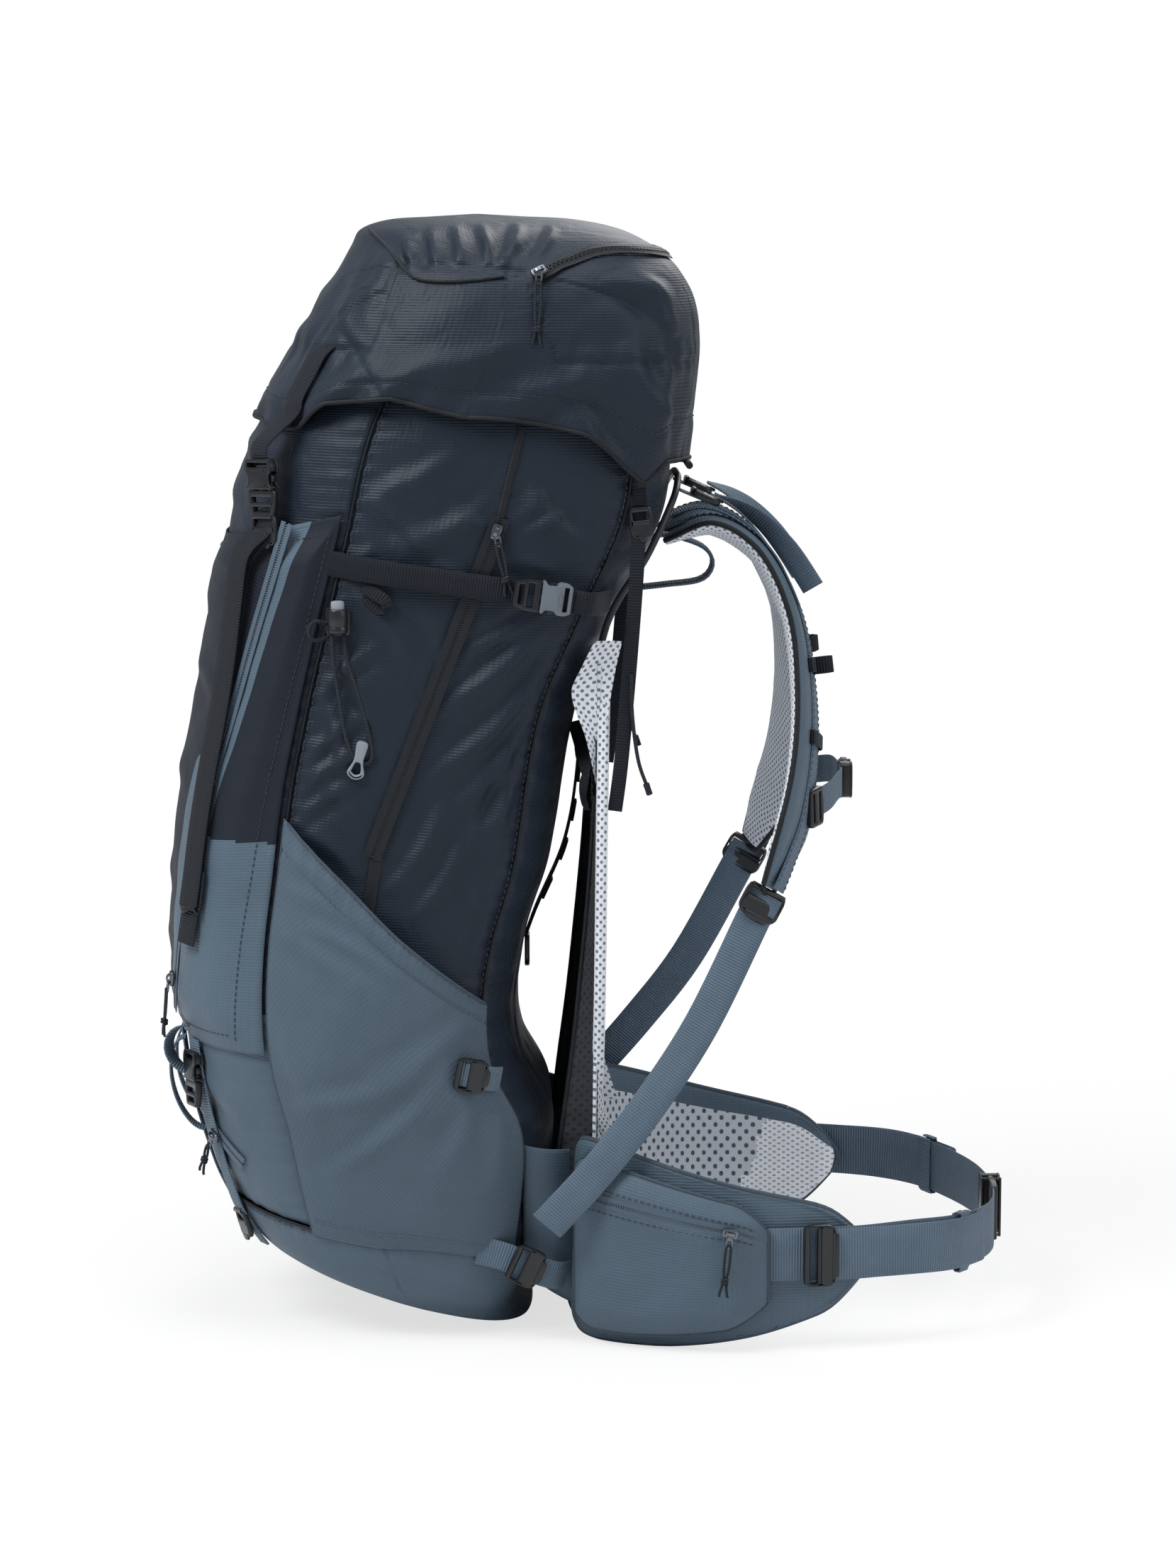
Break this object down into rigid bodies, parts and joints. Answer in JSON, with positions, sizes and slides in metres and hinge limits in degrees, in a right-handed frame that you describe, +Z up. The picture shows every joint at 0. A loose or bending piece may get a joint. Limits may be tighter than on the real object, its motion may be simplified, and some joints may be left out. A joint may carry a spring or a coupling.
{
  "type": "hiking backpack",
  "caption": "Tall framed hiking backpack with domed lid, side and front pockets, tensioned mesh back, shoulder straps and padded hip belt with side-release buckle.",
  "frame": {"origin": "centre of the flat base patch that the pack stands on", "axes": "+Z up, +X to the wearer's right, +Y towards the wearer (shoulder straps), -Y to the outer front of the bag"},
  "size_m": [0.3698, 0.6069, 0.782],
  "materials": {
    "slate_fabric": "matte",
    "charcoal_fabric": "matte",
    "stretch_weave": "matte",
    "slate_webbing": "matte",
    "black_webbing": "matte",
    "spacer_mesh": "matte",
    "zip_coil": "satin",
    "black_plastic": "satin",
    "grey_plastic": "satin",
    "gunmetal": "satin",
    "spring_steel": "satin",
    "elastic_cord": "matte",
    "foam_pad": "matte"
  },
  "bodies": {
    "bag": {"base_patch": "slate_fabric", "base_panel": "slate_fabric", "front_panel": "charcoal_fabric", "back_panel": "charcoal_fabric", "side_panel_right": "charcoal_fabric", "side_panel_left": "charcoal_fabric", "compartment_floor": "charcoal_fabric", "snow_collar": "charcoal_fabric", "collar_drawcord": "elastic_cord", "collar_cord_lock": "black_plastic", "front_pocket": "slate_fabric", "bag_zippers": "zip_coil", "side_pocket_right": "stretch_weave", "side_pocket_left": "stretch_weave", "side_straps": "slate_webbing", "side_buckle_sockets": "grey_plastic", "lid_buckle_plugs": "black_plastic", "lid_strap_tails": "black_webbing", "lid_hinge_piping": "charcoal_fabric", "pole_cord": "elastic_cord", "pole_cord_lock": "black_plastic", "front_loops": "slate_webbing", "steel_frame": "spring_steel", "back_mesh": "spacer_mesh", "lumbar_pad": "foam_pad", "back_length_strap": "black_webbing", "shoulder_pads": "foam_pad", "shoulder_webbing": "slate_webbing", "load_lifters": "slate_webbing", "haul_loop": "black_webbing", "harness_ladder_locks": "black_plastic", "chest_strap": "black_webbing", "chest_buckle_socket": "black_plastic", "fold_piping": "slate_webbing"},
    "lid": {"lid_shell": "charcoal_fabric", "lid_floor": "charcoal_fabric", "lid_zipper": "zip_coil", "lid_straps": "black_webbing", "lid_buckle_sockets": "black_plastic"},
    "lid_slider": {"lid_slider": "gunmetal"},
    "front_slider_right": {"front_slider_right": "gunmetal"},
    "front_slider_left": {"front_slider_left": "gunmetal"},
    "side_slider_right": {"side_slider_right": "gunmetal"},
    "side_slider_left": {"side_slider_left": "gunmetal"},
    "bottom_slider": {"bottom_slider": "gunmetal"},
    "side_plug_right": {"side_buckle_plug_right": "black_plastic"},
    "side_plug_left": {"side_buckle_plug_left": "black_plastic"},
    "pole_button": {"pole_lock_button": "grey_plastic"},
    "chest_plug": {"chest_buckle_plug": "black_plastic"},
    "hip_right": {"fin_right": "foam_pad", "fin_pocket_right": "slate_fabric", "belt_webbing_right": "slate_webbing", "hip_buckle_plug": "black_plastic"},
    "hip_left": {"fin_left": "foam_pad", "fin_pocket_left": "slate_fabric", "belt_webbing_left": "slate_webbing", "hip_buckle_socket": "black_plastic"},
    "fin_slider_right": {"fin_slider_right": "gunmetal"},
    "fin_slider_left": {"fin_slider_left": "gunmetal"}
  },
  "joints": [
    {"name": "lid_hinge", "type": "hinge", "parent": "bag", "child": "lid", "pos_m": [0, 0.1957, 0.612], "axis": [-1, 0, 0], "range_deg": [0, 95]},
    {"name": "lid_zip", "type": "slide", "parent": "lid", "child": "lid_slider", "axis": [-0.2997, 0.8836, 0.3597], "range_m": [0, 0.04]},
    {"name": "front_zip_right", "type": "slide", "parent": "bag", "child": "front_slider_right", "axis": [0.2904, 0.0869, 0.9529], "range_m": [0, 0.045]},
    {"name": "front_zip_left", "type": "slide", "parent": "bag", "child": "front_slider_left", "axis": [-0.2904, 0.0869, 0.9529], "range_m": [0, 0.045]},
    {"name": "side_zip_right", "type": "slide", "parent": "bag", "child": "side_slider_right", "axis": [0.0094, -0.359, -0.9333], "range_m": [0, 0.2]},
    {"name": "side_zip_left", "type": "slide", "parent": "bag", "child": "side_slider_left", "axis": [-0.0094, -0.359, -0.9333], "range_m": [0, 0.2]},
    {"name": "bottom_zip", "type": "slide", "parent": "bag", "child": "bottom_slider", "axis": [-0.7778, -0.4228, 0.465], "range_m": [0, 0.04]},
    {"name": "side_buckle_right", "type": "slide", "parent": "bag", "child": "side_plug_right", "axis": [0.0706, -0.987, 0.1443], "range_m": [0, 0.02]},
    {"name": "side_buckle_left", "type": "slide", "parent": "bag", "child": "side_plug_left", "axis": [-0.0706, -0.987, 0.1443], "range_m": [0, 0.02]},
    {"name": "pole_lock_press", "type": "slide", "parent": "bag", "child": "pole_button", "axis": [0, 0, -1], "range_m": [0, 0.003], "stiffness_N_per_m": 400},
    {"name": "chest_buckle", "type": "slide", "parent": "bag", "child": "chest_plug", "axis": [-1, 0, 0], "range_m": [0, 0.016]},
    {"name": "hip_fin_right", "type": "hinge", "parent": "bag", "child": "hip_right", "pos_m": [0.1, 0.119, 0.06], "axis": [0, 0, -1], "range_deg": [0, 7]},
    {"name": "hip_fin_left", "type": "hinge", "parent": "bag", "child": "hip_left", "pos_m": [-0.1, 0.119, 0.06], "axis": [0, 0, 1], "range_deg": [0, 7]},
    {"name": "fin_zip_right", "type": "slide", "parent": "hip_right", "child": "fin_slider_right", "axis": [-0.082, -0.9799, 0.1817], "range_m": [0, 0.045]},
    {"name": "fin_zip_left", "type": "slide", "parent": "hip_left", "child": "fin_slider_left", "axis": [0.082, -0.9799, 0.1817], "range_m": [0, 0.045]}
  ]
}
